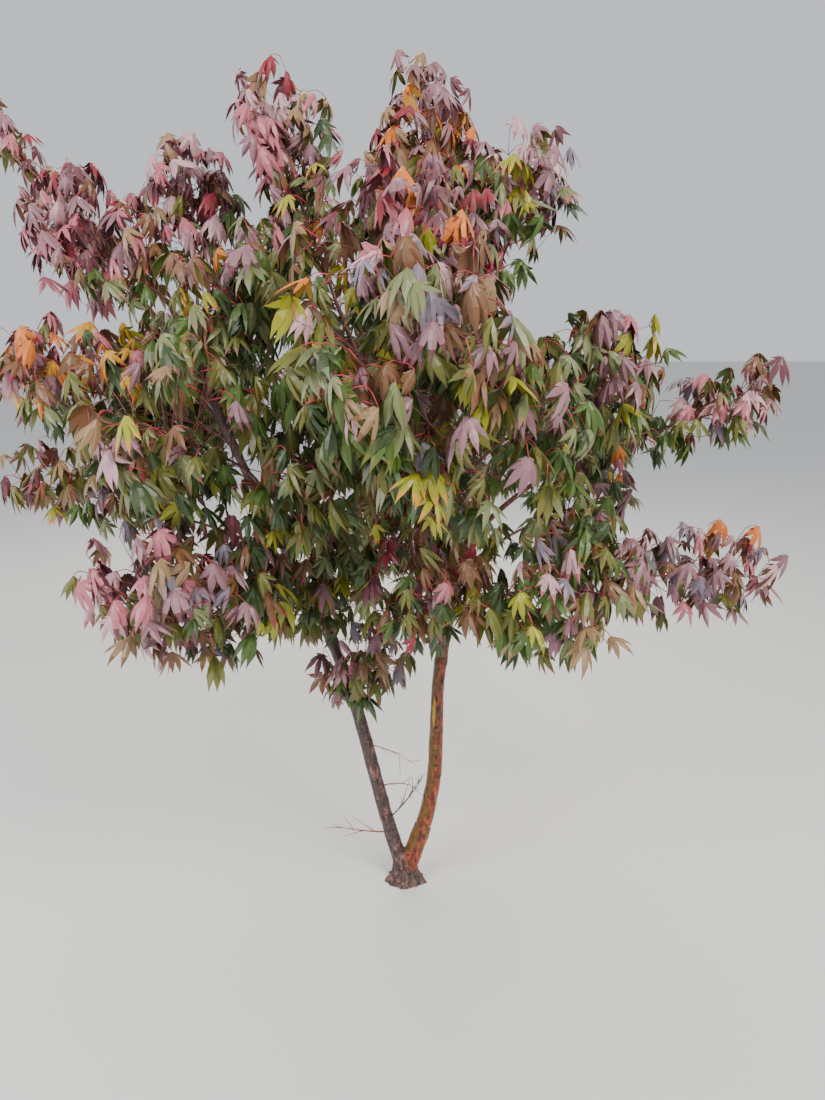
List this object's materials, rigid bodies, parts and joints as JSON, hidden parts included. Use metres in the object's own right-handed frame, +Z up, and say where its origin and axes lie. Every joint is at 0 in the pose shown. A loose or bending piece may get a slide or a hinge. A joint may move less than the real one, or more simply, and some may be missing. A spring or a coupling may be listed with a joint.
{
  "type": "japanese maple tree",
  "caption": "Young japanese maple tree: slender stems leaning apart from one flared foot, arching boughs and an open crown of hanging, lobed leaves in autumn tints.",
  "frame": {"origin": "on the ground, under the middle of the foot, on its flat cut", "axes": "+Z up the tree; -Y is the side that faces the viewer, +X is to the viewer's right"},
  "size_m": [1.9279, 1.65, 2.1178],
  "materials": {
    "old_bark": "dull grey-brown bark",
    "copper_bark": "satin copper-brown bark",
    "twig_bark": "smooth reddish bark",
    "dead_bark": "dry grey dead wood",
    "leaves_mauve": "matte leaf",
    "leaves_rose": "matte leaf",
    "leaves_brown": "matte leaf",
    "leaves_olive": "matte leaf",
    "leaves_orange": "matte leaf"
  },
  "bodies": {
    "root": {"bough_back": "twig_bark", "bough_back_low": "twig_bark", "bough_back_right": "twig_bark", "bough_back_top": "twig_bark", "bough_far_right": "twig_bark", "bough_front": "twig_bark", "bough_front_top": "twig_bark", "bough_left": "twig_bark", "bough_left_back": "twig_bark", "bough_left_front": "twig_bark", "bough_left_inner_peak": "twig_bark", "bough_left_middle": "twig_bark", "bough_left_peak": "twig_bark", "bough_left_shoot": "twig_bark", "bough_low_far_right": "twig_bark", "bough_low_front": "twig_bark", "bough_low_left": "twig_bark", "bough_low_left_front": "twig_bark", "bough_low_right": "twig_bark", "bough_low_right_front": "twig_bark", "bough_peak_shoot": "twig_bark", "bough_right": "twig_bark", "bough_right_front": "twig_bark", "bough_top_left": "twig_bark", "bough_top_right": "twig_bark", "dead_shoot": "dead_bark", "foliage_back": "leaves_olive", "foliage_back_low": "leaves_olive", "foliage_back_right": "leaves_olive", "foliage_back_top": "leaves_brown", "foliage_far_right": "leaves_orange", "foliage_front": "leaves_olive", "foliage_front_top": "leaves_brown", "foliage_left": "leaves_rose", "foliage_left_back": "leaves_olive", "foliage_left_front": "leaves_mauve", "foliage_left_inner_peak": "leaves_brown", "foliage_left_middle": "leaves_olive", "foliage_left_peak": "leaves_rose", "foliage_left_shoot": "leaves_rose", "foliage_left_upper_front": "leaves_brown", "foliage_low_far_right": "leaves_orange", "foliage_low_front": "leaves_brown", "foliage_low_left": "leaves_mauve", "foliage_low_left_front": "leaves_mauve", "foliage_low_middle": "leaves_mauve", "foliage_low_right": "leaves_orange", "foliage_low_right_front": "leaves_mauve", "foliage_low_sprig": "leaves_mauve", "foliage_peak": "leaves_brown", "foliage_peak_shoot": "leaves_brown", "foliage_right": "leaves_mauve", "foliage_right_front": "leaves_olive", "foliage_top_left": "leaves_rose", "foliage_top_right": "leaves_mauve", "foliage_upper_left": "leaves_rose", "red_shoot": "twig_bark", "root_flare": "old_bark", "stem_left": "old_bark", "stem_right": "copper_bark"}
  },
  "joints": []
}
